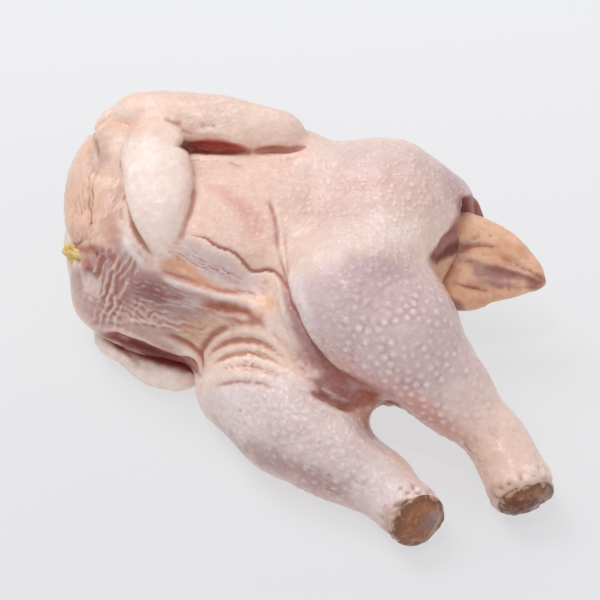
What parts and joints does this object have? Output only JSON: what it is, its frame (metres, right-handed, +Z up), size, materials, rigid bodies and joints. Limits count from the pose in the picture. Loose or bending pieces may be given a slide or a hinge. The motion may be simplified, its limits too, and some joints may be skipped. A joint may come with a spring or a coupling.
{
  "type": "whole raw chicken",
  "caption": "Whole raw chicken, plucked and drawn, without head, neck or feet, lying on its side with its legs stretched out and its wings folded.",
  "frame": {"origin": "under the middle of the bird's bounding box, on the surface that it lies on", "axes": "+Z up; +X along the bird from its neck end to its tail; -Y towards the breast and the stretched legs"},
  "size_m": [0.2174, 0.1988, 0.1064],
  "materials": {
    "skin": "moist"
  },
  "bodies": {
    "root": {"chicken": "skin"}
  },
  "joints": []
}
